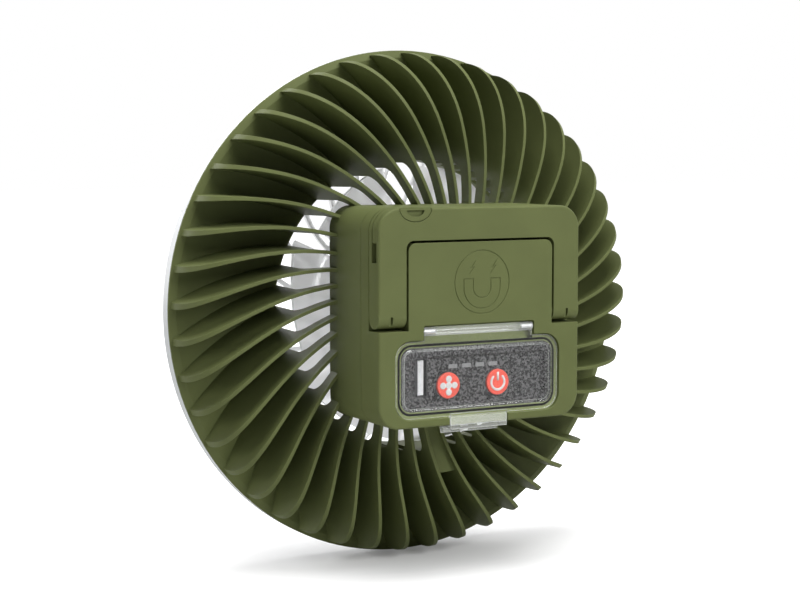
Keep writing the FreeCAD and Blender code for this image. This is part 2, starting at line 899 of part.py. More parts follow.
def hanging_hook():
    """J-shaped hook with a round eye, tapered at its tip."""
    band, low = hook_route(hook_width)
    region = block(-box_side + hook_gap / 2, hook_pivot_x, low, box_top - hook_gap / 2, -1, 2)
    hook = band.common(region)
    tip = Part.Face(Part.makePolygon([
        vec(-box_side - 1, low - 1),
        vec(-box_side + hook_gap / 2 + 0.4, low - 1),
        vec(-box_side - 1, low + hook_tip_length * 1.4),
        vec(-box_side - 1, low - 1),
    ])).extrude(vec(0, 0, 3))
    tip.translate(vec(0, 0, -1))
    tip_inner = Part.Face(Part.makePolygon([
        vec(-box_side + hook_width + 1, low - 1),
        vec(-box_side + 1.4, low - 1),
        vec(-box_side + hook_width + 0.6, low + hook_tip_length),
        vec(-box_side + hook_width + 1, low - 1),
    ])).extrude(vec(0, 0, 3))
    tip_inner.translate(vec(0, 0, -1))
    hook = hook.cut(tip).cut(tip_inner)
    hook = hook.fuse(disc(hook_hub_radius, 0, 1, vec(hook_pivot_x, hook_pivot_y)))
    hook = hook.cut(disc(hook_pin_radius + pin_clearance, -1, 2, vec(hook_pivot_x, hook_pivot_y)))
    stretch = FreeCAD.Matrix()
    stretch.scale(1, 1, hook_thickness)
    hook = hook.transformGeometry(stretch)
    hook.translate(vec(0, 0, hook_front))
    return hook


def hook_pin():
    """Rivet through the hook's eye, held in both layers of the handle."""
    return disc(hook_pin_radius, hook_slot_front - hook_pin_grip, hook_slot_back,
                vec(hook_pivot_x, hook_pivot_y))


def cap_recess(gap):
    """Half-oval opening in the handle's face over the hook's eye."""
    half = cap_width / 2 + gap
    drop = cap_height + gap
    oval = Part.Ellipse(ORIGIN, half, drop).toShape()
    face = Part.Face(Part.Wire([oval]))
    solid = face.extrude(vec(0, 0, cap_thickness + 1))
    solid.translate(vec(hook_pivot_x, box_top, box_back - cap_thickness))
    return solid


def hook_cap():
    """Flush cap over the hook's eye, with a shallow fingernail slot."""
    cap = cap_recess(0).common(block(-box_side, box_side, 0, box_top - 0.3, 0, box_back - 0.05))
    top = box_top - cap_slot_below_edge
    oval = Part.Ellipse(ORIGIN, cap_slot_width / 2, cap_slot_height).toShape()
    slot = Part.Face(Part.Wire([oval])).extrude(vec(0, 0, cap_slot_depth + 1))
    slot.translate(vec(hook_pivot_x, top, box_back - cap_slot_depth))
    return cap.cut(slot.common(block(-box_side, box_side, 0, top, 0, box_back + 1)))


# Clear cover

def clear_cover():
    """Hinged clear cover: flat lip, raised middle, hinge tongue and latch."""
    lip = cover_outline(lip_front, lip_back)
    rise = cover_face - lip_back
    inset = cover_dome_slope
    foot = well_outline(lip_front, cover_face, -panel_gap)
    dome_edges = [e for e in foot.Edges if abs(e.BoundBox.ZMin - cover_face) < 1e-6]
    foot = foot.makeChamfer(min(inset, rise * 0.95), dome_edges)
    body = lip.fuse(foot)
    tongue = block(tongue_left, tongue_right, cover_top - 0.5, hinge_bar_height, lip_front, lip_back)
    bar = Part.makeCylinder(hinge_bar_radius, tongue_right - tongue_left,
                            vec(tongue_left, hinge_bar_height, hinge_axis_depth), vec(1, 0, 0))
    body = body.fuse(tongue).fuse(bar)
    for piece in latch_pieces():
        body = body.fuse(piece)
    hollow = well_outline(lip_front - 1, cover_face - cover_wall, -panel_gap - cover_wall)
    body = body.cut(hollow)
    return body.cut(hinge_pin_shape(hinge_pin_radius + pin_clearance, 0.3))


def latch_pieces():
    """Latch tab: down the face, under the box and a grip lip at its end."""
    face_front = box_back - latch_thickness
    under_top = box_bottom - latch_gap
    under_bottom = under_top - latch_thickness
    reach = box_back - latch_reach
    return [
        block(latch_left, latch_right, under_bottom, cover_bottom + 1, face_front, box_back),
        block(latch_left, latch_right, under_bottom, under_top, reach, box_back),
        block(latch_left, latch_right, under_bottom - latch_lip, under_top, reach, reach + latch_thickness),
    ]


def cover_hinge_pins():
    """Short steel pins in both ends of the cover's hinge bar."""
    return hinge_pin_shape(hinge_pin_radius, 0)


def gasket_ring():
    """Seal round the control recess, in a groove under the cover's lip."""
    bottom = lip_floor - gasket_depth
    outside = well_outline(bottom, lip_front, gasket_gap + gasket_width)
    return outside.cut(well_outline(bottom - 1, lip_front + 1, gasket_gap))


# Control panel and electronics

def button_places():
    return [vec(fan_button_x, buttons_height), vec(power_button_x, buttons_height)]


def light_places():
    return [vec(light_first_x + n * light_spacing, lights_height) for n in range(light_count)]


def light_block(place, z_from, z_to, grow=0.0):
    half = light_width / 2 + grow
    tall = light_height / 2 + grow
    return block(place.x - half, place.x + half, place.y - tall, place.y + tall, z_from, z_to)


def port_block(z_from, z_to, grow=0.0):
    """The port's upright outline."""
    wide = port_width / 2 + grow
    long = port_length / 2 + grow
    return rounded_block(port_x - wide, port_x + wide, port_height - long, port_height + long,
                         z_from, z_to, 0.8 + grow)


def window_pocket():
    """Sunken middle of the control panel, with walls that lean outwards."""
    floor = rounded_outline(window_left + window_slope, window_right - window_slope,
                            window_bottom + window_slope, window_top - window_slope,
                            panel_floor, window_corner - window_slope)
    mouth = rounded_outline(window_left, window_right, window_bottom, window_top,
                            panel_face + 0.01, window_corner)
    return Part.makeLoft([floor, mouth], True, True)


def control_panel():
    """Dark plate that fills the control recess, held by a flange behind it."""
    plate = well_outline(panel_back, panel_face, -panel_gap)
    flange = well_outline(panel_flange_back, panel_back, panel_flange_width)
    legs = [disc(panel_leg_radius, board_back, panel_back, p) for p in panel_leg_places()]
    panel = plate.multiFuse([flange] + legs).cut(window_pocket())
    for place in button_places():
        panel = panel.cut(disc(button_radius + button_gap, panel_back, panel_face + 1, place))
        room = button_radius + button_flange_width + button_gap
        panel = panel.cut(disc(room, panel_flange_back - 1, panel_back, place))
    for place in light_places():
        panel = panel.cut(light_block(place, panel_flange_back - 1, panel_face + 1))
    return panel.cut(port_block(panel_flange_back - 1, panel_face + 1))


def panel_leg_places():
    """Feet of the panel that stand on the circuit board."""
    return [
        vec(x, y)
        for x in (well_left + panel_leg_inset, well_right - panel_leg_inset)
        for y in (well_bottom + panel_leg_inset - 1, well_top - panel_leg_inset + 1)
    ]


def board_screw_places():
    """Screws beside the panel that hold the board on the rear cover."""
    reach = box_side - box_wall - board_screw_inset
    return [vec(side * reach, board_screw_height) for side in (-1, 1)]


def board_screws():
    """Two screws through the board into the rear cover's bosses."""
    front = board_back - board_thickness
    screws = []
    for place in board_screw_places():
        head = disc(board_screw_head_radius, front - board_screw_head_height, front, place)
        screws.append(head.fuse(disc(board_screw_radius, front, panel_back - 1.0, place)))
    return group(screws)


def button(place):
    """Round push button with a flange that keeps it in the panel."""
    cap = disc(button_radius, panel_back - button_flange_thickness, panel_floor + button_rise, place)
    top = [e for e in cap.Edges if abs(e.BoundBox.ZMin - (panel_floor + button_rise)) < 1e-6]
    cap = cap.makeFillet(0.3, top)
    flange = disc(button_radius + button_flange_width, panel_back - button_flange_thickness,
                  panel_back - 0.05, place)
    return cap.fuse(flange)


def battery_lights():
    """Row of small light windows above the buttons."""
    return group([light_block(p, board_back, panel_floor + 0.1) for p in light_places()])


def usb_port_shell():
    """Metal shell of the port, open towards the back."""
    shell = port_block(panel_floor - port_depth, panel_floor)
    return shell.cut(port_block(panel_floor - port_depth + port_wall, panel_face + 1, -port_wall))


def usb_port_tongue():
    """Contact tongue inside the port."""
    wide = port_tongue_width / 2
    long = port_tongue_length / 2
    return block(port_x - wide, port_x + wide, port_height - long, port_height + long,
                 panel_floor - port_depth + port_wall, panel_floor - port_tongue_inset)


def circuit_board():
    """Board behind the control panel, cut round the box's screw posts."""
    front = board_back - board_thickness
    gap = board_side_gap
    board = box_shape(front, board_back, box_wall + gap)
    board = board.common(block(-box_side, box_side, box_bottom, cover_top - gap, front - 1, board_back + 1))
    for place in screw_places():
        board = board.cut(disc(body_post_radius + gap, front - 1, board_back + 1, place))
    for place in board_screw_places():
        board = board.cut(disc(board_screw_radius, front - 1, board_back + 1, place))
    return board.cut(port_block(front - 1, board_back + 1))


def button_switches():
    """Tact switches between the board and the buttons."""
    switches = []
    for place in button_places():
        half = switch_size / 2
        body = block(place.x - half, place.x + half, place.y - half, place.y + half,
                     board_back, board_back + switch_body_height)
        stem = disc(switch_stem_radius, board_back, switch_tip, place)
        switches.append(body.fuse(stem))
    return group(switches)


def battery_cells():
    """Cells side by side along x, stacked up the box."""
    pitch = 2 * cell_radius + cell_gap
    first = -pitch * (cell_count - 1) / 2
    cells = []
    for number in range(cell_count):
        y = first + number * pitch
        start = vec(-cell_length / 2, y, cell_center_depth)
        cell = Part.makeCylinder(cell_radius, cell_length, start, vec(1, 0, 0))
        end = vec(cell_length / 2, y, cell_center_depth)
        knob = Part.makeCylinder(cell_terminal_radius, cell_terminal_rise, end, vec(1, 0, 0))
        cells.append(cell.fuse(knob))
    return group(cells)


def battery_tray():
    """Open tray on the box's floor with a seat for each cell."""
    pitch = 2 * cell_radius + cell_gap
    half_tall = pitch * cell_count / 2
    tray = block(-cell_length / 2, cell_length / 2, -half_tall, half_tall,
                 box_floor, cell_center_depth - cell_radius / 3)
    return tray.cut(battery_cells())


def magnets():
    """Two round magnets behind the magnet panel."""
    places = [vec(side * magnet_spacing / 2, magnet_mark_height) for side in (-1, 1)]
    return group([disc(magnet_radius, magnet_ceiling - magnet_thickness, magnet_ceiling, p) for p in places])


def magnet_plate():
    """Steel plate that backs the magnets."""
    back = magnet_ceiling - magnet_thickness
    return rounded_block(-magnet_plate_width / 2, magnet_plate_width / 2,
                         magnet_mark_height - magnet_plate_height / 2,
                         magnet_mark_height + magnet_plate_height / 2,
                         back - magnet_plate_thickness, back, 2.0)


# Motor

def motor_base():
    """Flange and bearing tube on the box's front wall."""
    flange = disc(motor_flange_radius, box_front - motor_flange_thickness, box_front)
    tube = disc(bearing_tube_radius, stator_start - 1.5, box_front)
    base = flange.fuse(tube).cut(disc(bearing_outer_radius, 0, box_front + 1))
    for place in motor_screw_places():
        base = base.cut(disc(motor_screw_radius, 0, box_front + 1, place))
    return base


def bearing_places():
    """Where the two bearings start along the axis."""
    return [stator_start - 1.5, box_front - bearing_width]


def motor_bearings():
    """Two plain bearings in the tube."""
    return group([ring(bearing_outer_radius, shaft_radius + shaft_clearance, z, z + bearing_width)
                  for z in bearing_places()])


def motor_shaft():
    """Shaft fixed in the rotor cup."""
    return disc(shaft_radius, rotor_front, box_front - 0.4)


def tooth(extra_width, radius_from, radius_to, z_from, z_to):
    half = stator_tooth_width / 2 + extra_width
    return block(radius_from, radius_to, -half, half, z_from, z_to)


def stator_core():
    """Laminated core with teeth, pressed on the bearing tube."""
    end = stator_start + stator_depth
    core = disc(stator_hub_radius, stator_start, end)
    teeth = around(tooth(0, stator_hub_radius - 0.5, stator_radius - 0.8, stator_start, end),
                   stator_tooth_count)
    shoe_angle = 360.0 / stator_tooth_count
    shoe = ring(stator_radius, stator_radius - 1.4, stator_start, end)
    gap = around(block(stator_radius - 3, stator_radius + 1, -0.8, 0.8, stator_start - 1, end + 1),
                 stator_tooth_count, shoe_angle / 2)
    core = core.multiFuse(teeth + [shoe.cut(group(gap))])
    return core.cut(disc(bearing_tube_radius, 0, box_front))


def stator_windings():
    """A coil round each tooth."""
    end = stator_start + stator_depth
    inner = stator_hub_radius + 0.4
    outer = stator_radius - 1.8
    coil = tooth(winding_build, inner, outer, stator_start - winding_build, end + winding_build)
    coil = coil.cut(tooth(0, inner - 1, outer + 1, stator_start, end))
    return group(around(coil, stator_tooth_count))


def motor_screws():
    """Screws that hold the motor on the box."""
    screws = []
    for place in motor_screw_places():
        front = box_front - motor_flange_thickness
        head = disc(motor_screw_radius * 1.8, front - 1.0, front, place)
        screws.append(head.fuse(disc(motor_screw_radius, front, front + motor_screw_length, place)))
    return group(screws)


def rotor_cup():
    """Steel cup pressed into the impeller's hub."""
    cup = disc(rotor_outer_radius, rotor_front, hub_front_height + hub_depth)
    cup = cup.cut(disc(rotor_inner_radius, rotor_front + rotor_wall, hub_front_height + hub_depth + 1))
    boss = disc(shaft_radius + rotor_boss_wall, rotor_front, stator_start - 1.5 - rotor_boss_gap)
    return cup.fuse(boss).cut(disc(shaft_radius, 0, box_front))


def rotor_magnet():
    """Magnet ring inside the rotor cup."""
    return ring(rotor_inner_radius, magnet_inner_radius, stator_start - 0.5, stator_start + stator_depth + 0.5)


def blade_section(radius, chord, pitch):
    """Bowed plate section across a blade, square to its radius."""
    half = chord / 2
    skin = blade_thickness / 2

    def place(along, out):
        turn = math.radians(pitch)
        y = along * math.cos(turn) - out * math.sin(turn)
        z = along * math.sin(turn) + out * math.cos(turn)
        return vec(radius, y, impeller_front + impeller_depth / 2 + z)

    low = [place(-half, -skin), place(0, blade_camber - skin), place(half, -skin)]
    high = [place(half, skin), place(0, blade_camber + skin), place(-half, skin)]
    return Part.Wire([
        arc(*low),
        Part.makeLine(low[2], high[0]),
        arc(*high),
        Part.makeLine(high[2], low[0]),
    ])


def impeller():
    """Bladed wheel with a hub that covers the motor."""
    hub = disc(hub_radius, hub_front_height, hub_front_height + hub_depth)
    front = [e for e in hub.Edges if e.BoundBox.ZMax < hub_front_height + 1e-6]
    hub = hub.makeFillet(1.5, front)
    root = blade_section(hub_radius - 3, blade_root_chord, blade_root_pitch)
    tip = blade_section(impeller_radius + 2, blade_tip_chord, blade_tip_pitch)
    blade = Part.makeLoft([root, tip], True, True)
    room = disc(impeller_radius, impeller_front, impeller_front + impeller_depth)
    room = room.cut(disc(hub_radius - 1, impeller_front - 1, impeller_front + impeller_depth + 1))
    blade = blade.common(room)
    wheel = hub.multiFuse(around(blade, blade_count, 20))
    return wheel.cut(disc(rotor_outer_radius, rotor_front, box_front))


# Light ring and front guard

def diffuser_ring():
    """White translucent ring: outer edge, domed shoulders, flat front and inner wall."""
    outer = rim_radius
    inner = diffuser_inner_radius
    front = -diffuser_depth
    edge = -diffuser_edge
    flat_outer = outer - diffuser_shoulder
    wall = diffuser_wall
    edges = [
        Part.makeLine(vec(outer, 0, 0), vec(outer, 0, edge)),
        quarter_oval(vec(outer, 0, edge), vec(flat_outer, 0, front), vec(flat_outer, 0, edge)),
        Part.makeLine(vec(flat_outer, 0, front), vec(inner, 0, front)),
        Part.makeLine(vec(inner, 0, front), vec(inner, 0, 0)),
        Part.makeLine(vec(inner, 0, 0), vec(inner + diffuser_inner_wall, 0, 0)),
        Part.makeLine(vec(inner + diffuser_inner_wall, 0, 0), vec(inner + diffuser_inner_wall, 0, front + wall)),
        Part.makeLine(vec(inner + diffuser_inner_wall, 0, front + wall), vec(flat_outer, 0, front + wall)),
        Part.makeLine(vec(flat_outer, 0, front + wall), vec(outer - wall, 0, edge)),
        Part.makeLine(vec(outer - wall, 0, edge), vec(outer - wall, 0, 0)),
        Part.makeLine(vec(outer - wall, 0, 0), vec(outer, 0, 0)),
    ]
    return spun(edges)


def led_board():
    """Ring board against the annular wall."""
    return ring(led_board_outer, led_board_inner, -led_board_thickness, 0)


def led_chips():
    """Small light emitters round the board."""
    half = led_size / 2
    chip = block(led_circle - half, led_circle + half, -half, half,
                 -led_board_thickness - led_height, -led_board_thickness)
    return group(around(chip, led_count))


def led_lead():
    """Flat lead from the box through the wiring channel to the light ring."""
    return lead_path(lead_width / 2, lead_thickness / 2, 0)


def front_guard():
    """Flat grille over the blades: rings and curved ribs."""
    back = -duct_length
    front = back - guard_thickness
    outer_radius = diffuser_inner_radius - 0.15
    rim = ring(outer_radius, outer_radius - guard_ring_width, front, back)
    middle_ring = ring(guard_middle_ring, guard_middle_ring - guard_rib_width, front, back)
    hub = disc(guard_hub_radius, front, back)
    start = vec(guard_hub_radius - 1, 0)
    end = vec(outer_radius - 1, 0)
    middle = (start + end) * 0.5 + vec(0, guard_rib_bow)
    rib = bent_strip(start, middle, end, guard_rib_width, front, back)
    return rim.multiFuse([middle_ring, hub] + around(rib, guard_rib_count))


def body_screws():
    """Screws that join the halves of the box, from the front."""
    screws = []
    for place in screw_places():
        head = disc(body_screw_head_radius, box_front - body_screw_head_height, box_front, place)
        shank = disc(body_screw_radius, box_front, box_front + body_screw_length, place)
        screws.append(head.fuse(shank))
    return group(screws)


def build():
    os.makedirs("parts", exist_ok=True)
    fan_place, power_place = button_places()
    pieces = {
        "rear_housing": rear_housing(),
        "rear_cover": rear_cover(),
        "carry_handle": carry_handle(),
        "handle_pins": pivot_rods(pin_radius, 0),
        "hanging_hook": hanging_hook(),
        "hook_pin": hook_pin(),
        "hook_cap": hook_cap(),
        "clear_cover": clear_cover(),
        "cover_hinge_pins": cover_hinge_pins(),
        "cover_gasket": gasket_ring(),
        "control_panel": control_panel(),
        "fan_button": button(fan_place),
        "power_button": button(power_place),
        "battery_lights": battery_lights(),
        "usb_port_shell": usb_port_shell(),
        "usb_port_tongue": usb_port_tongue(),
        "circuit_board": circuit_board(),
        "board_screws": board_screws(),
        "button_switches": button_switches(),
        "battery_cells": battery_cells(),
        "battery_tray": battery_tray(),
        "magnets": magnets(),
        "magnet_plate": magnet_plate(),
        "motor_base": motor_base(),
        "motor_bearings": motor_bearings(),
        "motor_shaft": motor_shaft(),
        "stator_core": stator_core(),
        "stator_windings": stator_windings(),
        "motor_screws": motor_screws(),
        "rotor_cup": rotor_cup(),
        "rotor_magnet": rotor_magnet(),
        "impeller": impeller(),
        "diffuser_ring": diffuser_ring(),
        "led_board": led_board(),
        "led_chips": led_chips(),
        "led_lead": led_lead(),
        "front_guard": front_guard(),
        "body_screws": body_screws(),
    }
    for name, shape in pieces.items():
        export(shape, name)
        print(name, "solids", len(shape.Solids), "valid", shape.isValid(), "volume", round(shape.Volume, 1))


build()
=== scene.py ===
import logging
import math
from dataclasses import dataclass, field
from enum import Enum

import bmesh
import bpy
import numpy as np
from mathutils import Matrix, Vector


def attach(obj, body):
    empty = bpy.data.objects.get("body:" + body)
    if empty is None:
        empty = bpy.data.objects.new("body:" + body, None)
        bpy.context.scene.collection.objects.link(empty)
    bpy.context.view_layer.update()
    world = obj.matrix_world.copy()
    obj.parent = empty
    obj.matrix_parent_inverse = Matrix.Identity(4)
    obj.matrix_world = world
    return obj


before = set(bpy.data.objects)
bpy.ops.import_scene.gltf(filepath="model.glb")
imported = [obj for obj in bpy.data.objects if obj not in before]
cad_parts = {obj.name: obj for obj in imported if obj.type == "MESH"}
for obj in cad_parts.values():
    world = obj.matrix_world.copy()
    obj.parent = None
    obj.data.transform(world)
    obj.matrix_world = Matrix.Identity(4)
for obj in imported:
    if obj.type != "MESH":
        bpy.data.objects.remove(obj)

LOG = logging.getLogger("camping_fan")
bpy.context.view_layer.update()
MM = 0.001
# These two values are in millimetres, and so are the sizes of the marks and of the guard's dome.
RIM_RADIUS = 100.0
MID_DEPTH = 26.3
SAME_PLACE = 1e-7
EDGE_SAMPLES = 4
EDGE_GAIN = 4.0

Grid = np.ndarray
Colour = tuple[float, float, float]
Place = tuple[float, float, float]


class BodyName(Enum):
    """Moving groups of the fan, as the frame names them."""

    HOUSING = "housing"
    HANDLE = "handle"
    HOOK = "hook"
    COVER = "cover"
    ROTOR = "rotor"
    FAN_BUTTON = "fan_button"
    POWER_BUTTON = "power_button"


class Slot(Enum):
    """Material slots of the record."""

    OLIVE = "olive_plastic"
    WHITE = "white_plastic"
    MILKY = "translucent_white"
    CLEAR = "clear_plastic"
    PANEL = "dark_panel"
    RED = "red_buttons"
    WINDOWS = "light_windows"
    DIM = "dim_windows"
    STEEL = "steel"
    DARK_METAL = "dark_metal"
    MAGNET = "magnet_metal"
    BOARD = "circuit_green"
    BLACK = "black_plastic"
    WRAP = "battery_wrap"
    COPPER = "copper"
    BRONZE = "bronze"
    SEAL = "seal_rubber"


def new_material(name: str) -> tuple[bpy.types.Material, bpy.types.NodeTree, bpy.types.Node]:
    """Make an empty node material with one Principled shader.

    Args:
        name: name of the material.

    Returns:
        The material, its node tree and the shader node.
    """
    material = bpy.data.materials.new(name)
    material.use_nodes = True
    tree = material.node_tree
    tree.nodes.clear()
    output = tree.nodes.new("ShaderNodeOutputMaterial")
    shader = tree.nodes.new("ShaderNodeBsdfPrincipled")
    tree.links.new(shader.outputs[0], output.inputs["Surface"])
    return material, tree, shader


def object_noise(tree: bpy.types.NodeTree, scale: float, detail: float) -> bpy.types.Node:
    """Noise over the piece's own coordinates.

    Args:
        tree: node tree that gets the nodes.
        scale: how many cells fit in a metre.
        detail: octaves of the noise.

    Returns:
        The noise node.
    """
    place = tree.nodes.new("ShaderNodeTexCoord")
    noise = tree.nodes.new("ShaderNodeTexNoise")
    noise.inputs["Scale"].default_value = scale
    noise.inputs["Detail"].default_value = detail
    tree.links.new(place.outputs["Object"], noise.inputs["Vector"])
    return noise


def two_tone(tree: bpy.types.NodeTree, factor: bpy.types.NodeSocket, low: Colour, high: Colour,
             start: float = 0.35, end: float = 0.65) -> bpy.types.NodeSocket:
    """Ramp between two colours.

    Args:
        tree: node tree that gets the node.
        factor: value that drives the ramp.
        low: colour at the start.
        high: colour at the end.
        start: factor where the ramp leaves the first colour.
        end: factor where it reaches the second colour.

    Returns:
        The ramp's colour output.
    """
    ramp = tree.nodes.new("ShaderNodeValToRGB")
    ramp.color_ramp.elements[0].position = start
    ramp.color_ramp.elements[0].color = (*low, 1.0)
    ramp.color_ramp.elements[1].position = end
    ramp.color_ramp.elements[1].color = (*high, 1.0)
    tree.links.new(factor, ramp.inputs["Fac"])
    return ramp.outputs["Color"]


def rounded_normal(tree: bpy.types.NodeTree, radius: float) -> bpy.types.NodeSocket:
    """Surface direction as if the piece's edges were rounded.

    Args:
        tree: node tree that gets the node.
        radius: radius of the edges, in metres.

    Returns:
        The direction's output.
    """
    rounded = tree.nodes.new("ShaderNodeBevel")
    rounded.samples = EDGE_SAMPLES
    rounded.inputs["Radius"].default_value = radius
    return rounded.outputs["Normal"]


def edge_share(tree: bpy.types.NodeTree, radius: float) -> bpy.types.NodeSocket:
    """How near a place is to an edge of the piece: 0 on a flat, up to 1 on a sharp edge.

    Args:
        tree: node tree that gets the nodes.
        radius: reach of the edge, in metres.

    Returns:
        The share's output.
    """
    flat = tree.nodes.new("ShaderNodeNewGeometry")
    match = tree.nodes.new("ShaderNodeVectorMath")
    match.operation = "DOT_PRODUCT"
    tree.links.new(rounded_normal(tree, radius), match.inputs[0])
    tree.links.new(flat.outputs["True Normal"], match.inputs[1])
    share = tree.nodes.new("ShaderNodeMapRange")
    share.inputs["From Min"].default_value = 1.0
    share.inputs["From Max"].default_value = 1.0 - 1.0 / EDGE_GAIN
    tree.links.new(match.outputs["Value"], share.inputs["Value"])
    return share.outputs["Result"]


def blended(tree: bpy.types.NodeTree, share: bpy.types.NodeSocket, low: bpy.types.NodeSocket,
            high: Colour) -> bpy.types.NodeSocket:
    """Colour that goes from an output to a plain colour as a share grows.

    Args:
        tree: node tree that gets the node.
        share: share of the plain colour.
        low: colour output at share 0.
        high: plain colour at share 1.

    Returns:
        The mixed colour output.
    """
    mix = tree.nodes.new("ShaderNodeMix")
    mix.data_type = "RGBA"
    first, second = (socket for socket in mix.inputs if socket.type == "RGBA")
    second.default_value = (*high, 1.0)
    tree.links.new(share, mix.inputs[0])
    tree.links.new(low, first)
    return next(socket for socket in mix.outputs if socket.type == "RGBA")


def summed(tree: bpy.types.NodeTree, *terms: bpy.types.NodeSocket) -> bpy.types.NodeSocket:
    """Sum of several value outputs.

    Args:
        tree: node tree that gets the nodes.
        terms: the outputs.

    Returns:
        The sum's output.
    """
    total = terms[0]
    for term in terms[1:]:
        add = tree.nodes.new("ShaderNodeMath")
        add.operation = "ADD"
        tree.links.new(total, add.inputs[0])
        tree.links.new(term, add.inputs[1])
        total = add.outputs[0]
    return total


def ranged(tree: bpy.types.NodeTree, value: bpy.types.NodeSocket, start: float, end: float,
           low: float, high: float) -> bpy.types.NodeSocket:
    """Value that goes from low to high while another goes from start to end.

    Args:
        tree: node tree that gets the node.
        value: the driving output.
        start: driving value at low.
        end: driving value at high.
        low: result at start.
        high: result at end.

    Returns:
        The result's output.
    """
    ramp = tree.nodes.new("ShaderNodeMapRange")
    ramp.interpolation_type = "SMOOTHSTEP"
    for name, number in (("From Min", start), ("From Max", end), ("To Min", low), ("To Max", high)):
        ramp.inputs[name].default_value = number
    tree.links.new(value, ramp.inputs["Value"])
    return ramp.outputs["Result"]


def mixed(tree: bpy.types.NodeTree, share: bpy.types.NodeSocket, low: bpy.types.NodeSocket,
          high: bpy.types.NodeSocket) -> bpy.types.NodeSocket:
    """Shader that goes from one shader to another as a share grows.

    Args:
        tree: node tree that gets the node.
        share: share of the second shader.
        low: shader at share 0.
        high: shader at share 1.

    Returns:
        The mixed shader's output.
    """
    mix = tree.nodes.new("ShaderNodeMixShader")
    tree.links.new(share, mix.inputs[0])
    tree.links.new(low, mix.inputs[1])
    tree.links.new(high, mix.inputs[2])
    return mix.outputs[0]


def show(tree: bpy.types.NodeTree, shader: bpy.types.NodeSocket) -> None:
    """Make a shader the one that the material shows.

    Args:
        tree: the material's node tree.
        shader: the shader's output.
    """
    output = next(node for node in tree.nodes if node.type == "OUTPUT_MATERIAL")
    tree.links.new(shader, output.inputs["Surface"])


def scaled(colour: Colour, factor: float) -> Colour:
    """The colour times a factor, kept within 1."""
    return tuple(min(1.0, channel * factor) for channel in colour)


@dataclass(frozen=True)
class MouldedPlastic:
    """Plastic with a fine moulded grain and edges rounded by the mould."""

    name: str
    colour: Colour
    roughness: float = 0.5
    grain_per_metre: float = 1800.0
    grain_height: float = 0.00002
    grain_strength: float = 0.35
    mottle_per_metre: float = 60.0
    mottle: float = 0.04
    edge_radius: float = 0.0003
    painted_edge_lightening: float = 0.0
    specular: float = 0.12

    def make(self) -> bpy.types.Material:
        """Build the material.

        Returns:
            The finished material.
        """
        material, tree, shader = new_material(self.name)
        mottle = object_noise(tree, self.mottle_per_metre, 3.0)
        colour = two_tone(tree, mottle.outputs["Fac"], scaled(self.colour, 1 - self.mottle),
                          scaled(self.colour, 1 + self.mottle))
        # Painted highlight: the base colour is lightened along the edges, standing in for the gloss
        # that rounded edges catch.
        if self.painted_edge_lightening > 0:
            light = scaled(self.colour, 1 + self.painted_edge_lightening)
            colour = blended(tree, edge_share(tree, self.edge_radius), colour, light)
        tree.links.new(colour, shader.inputs["Base Color"])
        shader.inputs["Roughness"].default_value = self.roughness
        shader.inputs["Specular IOR Level"].default_value = self.specular
        grain = object_noise(tree, self.grain_per_metre, 2.0)
        bump = tree.nodes.new("ShaderNodeBump")
        bump.inputs["Strength"].default_value = self.grain_strength
        bump.inputs["Distance"].default_value = self.grain_height
        tree.links.new(grain.outputs["Fac"], bump.inputs["Height"])
        tree.links.new(rounded_normal(tree, self.edge_radius), bump.inputs["Normal"])
        tree.links.new(bump.outputs["Normal"], shader.inputs["Normal"])
        return material


@dataclass(frozen=True)
class MilkyPlastic:
    """White plastic that lets part of the light through."""

    name: str
    colour: Colour
    through: float
    roughness: float = 0.3
    ior: float = 1.2
    cloud_per_metre: float = 25.0
    cloud_dark: float = 0.985

    def make(self) -> bpy.types.Material:
        """Build the material.

        Returns:
            The finished material.
        """
        material, tree, shader = new_material(self.name)
        cloud = object_noise(tree, self.cloud_per_metre, 2.0)
        colour = two_tone(tree, cloud.outputs["Fac"], scaled(self.colour, self.cloud_dark), self.colour)
        tree.links.new(colour, shader.inputs["Base Color"])
        shader.inputs["Roughness"].default_value = self.roughness
        shader.inputs["IOR"].default_value = self.ior
        shader.inputs["Transmission Weight"].default_value = self.through
        return material


